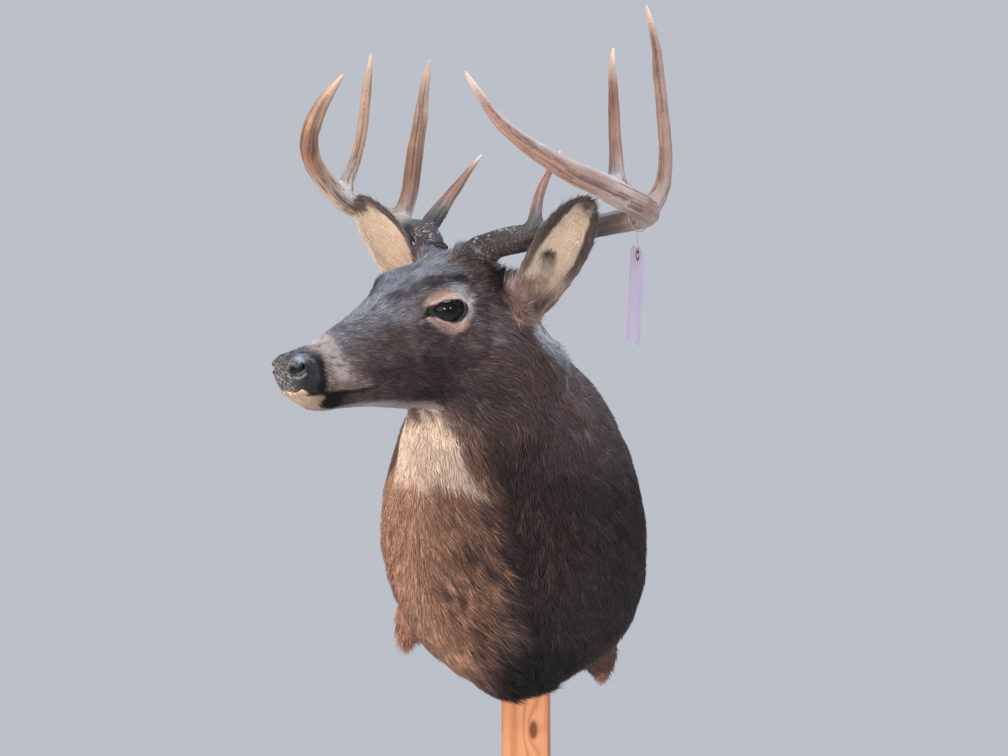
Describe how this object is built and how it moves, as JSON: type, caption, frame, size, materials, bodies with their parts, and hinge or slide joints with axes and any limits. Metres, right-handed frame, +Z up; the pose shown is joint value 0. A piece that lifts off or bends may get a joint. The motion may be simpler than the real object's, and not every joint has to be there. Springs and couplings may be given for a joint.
{
  "type": "deer shoulder mount",
  "caption": "White-tailed buck's head, neck and shoulders with branched antlers, turned to its right, on a backing panel and a wall board, with a paper tag on a string.",
  "frame": {"origin": "middle of the wall board's width on its back face, where it lies on the wall, about level with the middle of the backing panel", "axes": "+Z up, +Y into the wall, so the deer looks out along -Y with its head turned towards -X (its own right); +X is the deer's left"},
  "size_m": [0.4842, 0.5606, 0.9256],
  "materials": {
    "coat": "short dense fur",
    "coat_pale": "short pale fur",
    "nose_skin": "dark, slightly moist look",
    "glass_eye": "dark and polished",
    "antler": "bone, grooved, satin",
    "pine": "finished pine",
    "plywood": "plain",
    "paper": "plain card",
    "string": "cotton"
  },
  "bodies": {
    "root": {"antler_left_beam_base": "antler", "antler_left_beam_middle": "antler", "antler_left_beam_tip": "antler", "antler_left_brow_tine": "antler", "antler_left_second_tine": "antler", "antler_left_third_tine": "antler", "antler_right_beam_base": "antler", "antler_right_beam_middle": "antler", "antler_right_beam_tip": "antler", "antler_right_brow_tine": "antler", "antler_right_second_tine": "antler", "antler_right_third_tine": "antler", "back_panel": "plywood", "ear_left": "coat", "ear_right": "coat", "eye_left": "glass_eye", "eye_right": "glass_eye", "hanging_board": "pine", "head": "coat", "jaw": "coat_pale", "leg_stump_left": "coat_pale", "leg_stump_right": "coat_pale", "neck": "coat", "nose": "nose_skin", "tag": "paper", "tag_string": "string", "trunk": "coat"}
  },
  "joints": []
}
